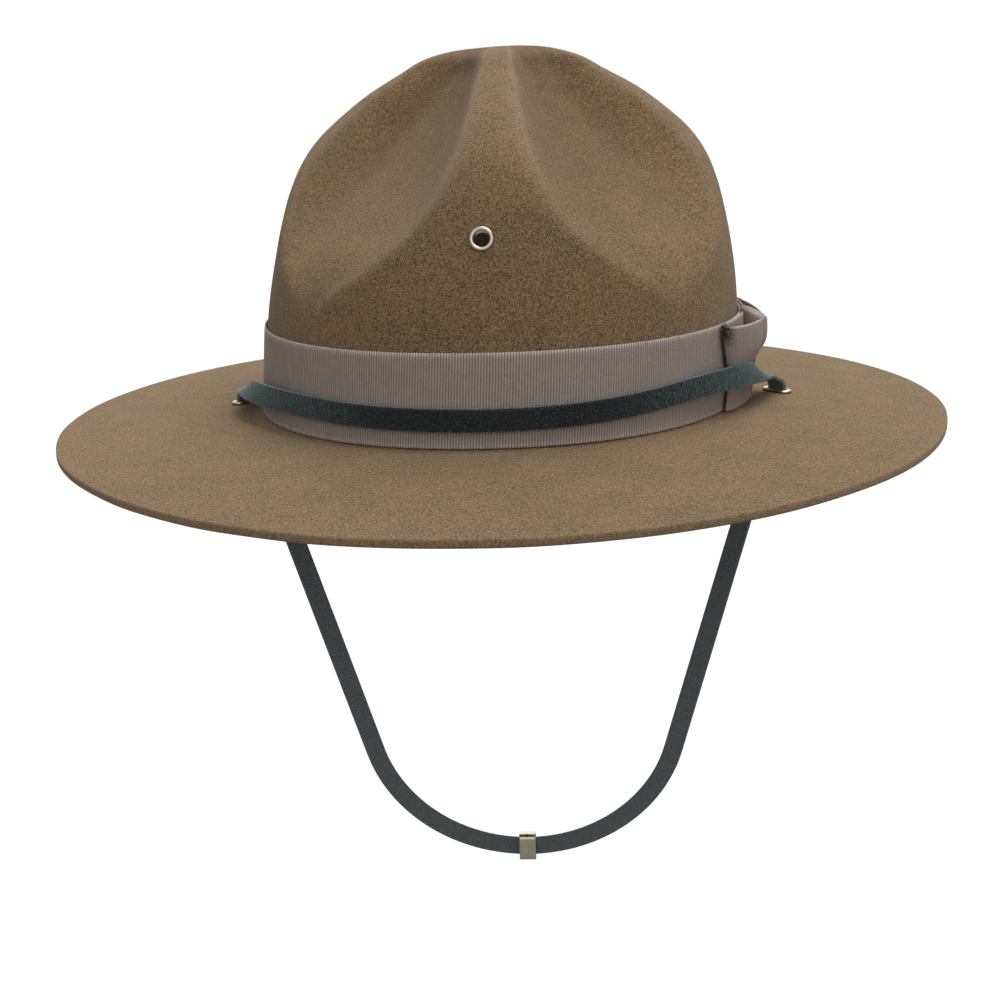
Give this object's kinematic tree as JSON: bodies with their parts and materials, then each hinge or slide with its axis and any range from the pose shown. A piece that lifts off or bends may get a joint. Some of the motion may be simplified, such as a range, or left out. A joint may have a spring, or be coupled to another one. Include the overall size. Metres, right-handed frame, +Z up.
{
  "type": "campaign hat",
  "caption": "Felt campaign hat with a four-dent peaked crown, wide flat brim, ribbed band with a side bow, and a leather strap through the brim.",
  "frame": {"origin": "centre of the head opening, level with the underside of the brim there", "axes": "+Z up towards the peak, -Y towards the front of the hat, +X towards the wearer's left"},
  "size_m": [0.322, 0.352, 0.3319],
  "materials": {
    "felt": "olive-brown wool felt with a short mottled nap",
    "ribbon": "taupe ribbed ribbon with a soft sheen",
    "strap_leather": "black grained leather, semi-gloss",
    "eyelet_metal": "pale nickel with a warm tint"
  },
  "bodies": {
    "root": {"felt_body": "felt", "ribbon_band": "ribbon", "bow_loop_front": "ribbon", "bow_loop_back": "ribbon", "bow_knot": "ribbon", "badge_eyelet": "eyelet_metal", "slot_eyelet_left": "eyelet_metal", "slot_eyelet_right": "eyelet_metal", "chin_strap": "strap_leather", "strap_keeper": "eyelet_metal"}
  },
  "joints": []
}
